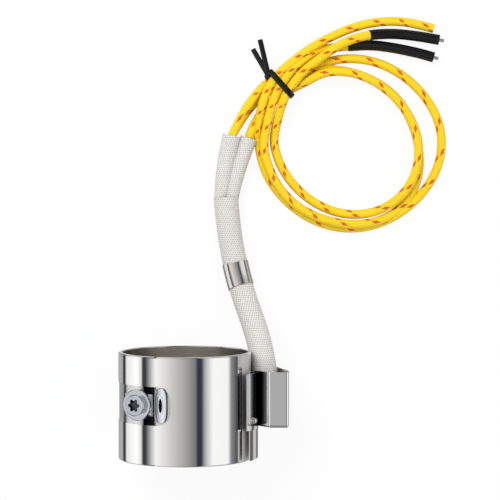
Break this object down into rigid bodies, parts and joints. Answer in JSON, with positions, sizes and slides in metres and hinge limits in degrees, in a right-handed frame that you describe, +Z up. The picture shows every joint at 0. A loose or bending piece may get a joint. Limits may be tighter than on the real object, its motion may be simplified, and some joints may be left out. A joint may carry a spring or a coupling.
{
  "type": "band heater",
  "caption": "Round clamp-on band heater with a clamp screw, a side terminal cap and sleeved leads that end in a tied coil.",
  "frame": {"origin": "centre of the bore at the band's mid width", "axes": "+Y along the bore axis, towards the side where the leads leave; +Z up as it lies; +X towards the terminal cap"},
  "size_m": [0.1205, 0.16, 0.0498],
  "materials": {
    "polished_steel": "polished",
    "zinc_plated": "bright plated",
    "mica": "pearly",
    "ribbon": "plain",
    "woven_sleeve": "knitted glass fibre",
    "lead_braid": "braided with orange tracers",
    "black_tube": "satin",
    "tinned_wire": "tinned",
    "tie_plastic": "gloss"
  },
  "bodies": {
    "band": {"inner_shell": "polished_steel", "inner_mica": "mica", "mica_former": "mica", "heating_ribbon": "ribbon", "outer_mica": "mica", "outer_shell": "polished_steel", "outer_sheath": "polished_steel", "clamp_block": "zinc_plated", "clamp_tab": "polished_steel", "terminal_cap": "polished_steel", "cap_rivets": "polished_steel", "terminal_pad": "mica", "terminal_strips": "ribbon", "crimp_barrels": "ribbon", "lead_ends": "lead_braid", "outer_sleeve": "woven_sleeve", "sleeve_clip": "polished_steel", "inner_sleeve_left": "woven_sleeve", "inner_sleeve_right": "woven_sleeve", "lead_bare": "lead_braid", "lead_lower": "lead_braid", "lead_upper": "lead_braid", "end_sleeve_lower": "black_tube", "end_sleeve_upper": "black_tube", "wire_tip_lower": "tinned_wire", "wire_tip_upper": "tinned_wire", "lead_coil": "lead_braid", "twist_tie": "tie_plastic"},
    "washer": {"clamp_washer": "zinc_plated"},
    "screw": {"clamp_screw": "zinc_plated"}
  },
  "joints": [
    {"name": "screw_turn", "type": "hinge", "parent": "washer", "child": "screw", "pos_m": [-0.01598, 0.0023, 0.01991], "axis": [-0.454, 0, 0.891], "range_deg": [0, 541]},
    {"name": "washer_lift", "type": "slide", "parent": "band", "child": "washer", "axis": [-0.454, 0, 0.891], "range_m": [0, 0.0012]}
  ],
  "couplings": [
    {"joint": "screw_turn", "follows": "washer_lift", "rad_per_m": 7854}
  ]
}
